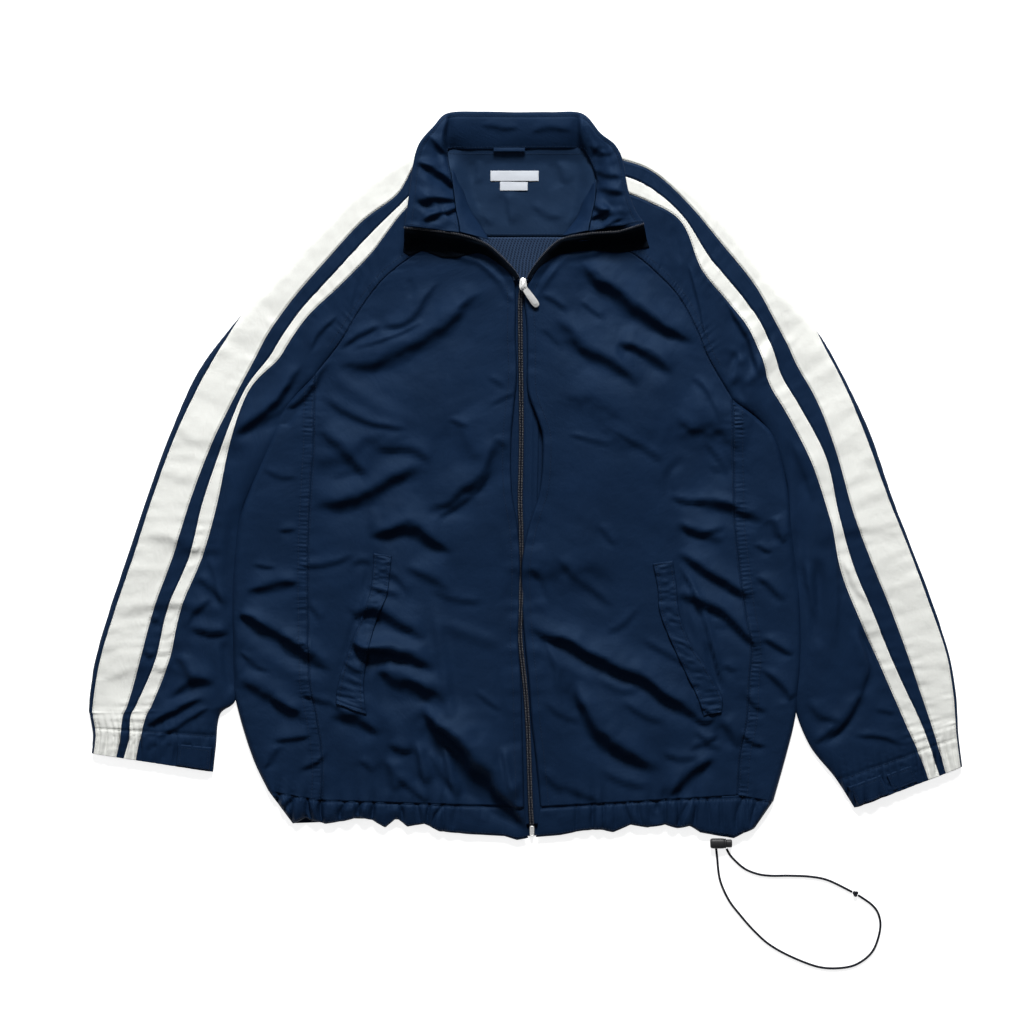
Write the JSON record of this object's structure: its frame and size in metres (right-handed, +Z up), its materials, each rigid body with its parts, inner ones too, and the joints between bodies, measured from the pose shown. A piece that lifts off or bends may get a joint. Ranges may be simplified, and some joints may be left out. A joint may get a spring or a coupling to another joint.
{
  "type": "track jacket",
  "caption": "Zip-front track jacket with an open stand collar, raglan sleeves with white stripes, welt pockets and a drawcord hem, laid flat on its back.",
  "frame": {"origin": "on the floor under the middle of the garment's box, without the drawcord loop", "axes": "+X towards the sleeve on the right as seen from above, +Y towards the collar, +Z up from the floor"},
  "size_m": [0.9161, 0.8985, 0.0321],
  "materials": {
    "navy_twill": "matt woven polyester with a faint sheen",
    "white_twill": "matt off-white woven polyester",
    "yoke_lining": "matt woven polyester",
    "mesh_lining": "knitted mesh",
    "label_satin": "woven satin label, blank",
    "zip_chain": "spiral chain on woven tape",
    "zip_metal": "satin nickel plate",
    "lock_plastic": "moulded plastic",
    "elastic_cord": "braided elastic cord"
  },
  "bodies": {
    "root": {"back": "navy_twill", "sleeve_back_left": "navy_twill", "sleeve_middle_left": "navy_twill", "sleeve_front_left": "navy_twill", "sleeve_back_right": "navy_twill", "sleeve_middle_right": "navy_twill", "sleeve_front_right": "navy_twill", "front_left": "navy_twill", "front_right": "navy_twill", "side_left": "navy_twill", "side_right": "navy_twill", "hem_left": "navy_twill", "hem_right": "navy_twill", "hem_back": "navy_twill", "collar": "navy_twill", "facing_left": "navy_twill", "facing_right": "navy_twill", "pocket_welt_left": "navy_twill", "pocket_welt_right": "navy_twill", "hang_loop": "navy_twill", "cuff_tab_left": "navy_twill", "cuff_tab_right": "navy_twill", "cuff_patch_right": "navy_twill", "stripe_wide_left": "white_twill", "stripe_narrow_left": "white_twill", "stripe_wide_right": "white_twill", "stripe_narrow_right": "white_twill", "inner_yoke": "yoke_lining", "mesh_lining": "mesh_lining", "neck_label": "label_satin", "size_label": "label_satin", "zip_left": "zip_chain", "zip_right": "zip_chain", "slider": "zip_metal", "zip_stop": "zip_metal", "cord_lock": "lock_plastic", "drawcord_a": "elastic_cord", "drawcord_b": "elastic_cord", "cord_knot": "elastic_cord"},
    "pull": {"pull_tab": "zip_metal"}
  },
  "joints": [
    {"name": "pull_hinge", "type": "hinge", "parent": "root", "child": "pull", "pos_m": [-0.0024, 0.197, 0.0151], "axis": [-0.8087, -0.5882, 0], "range_deg": [0, 150]}
  ]
}
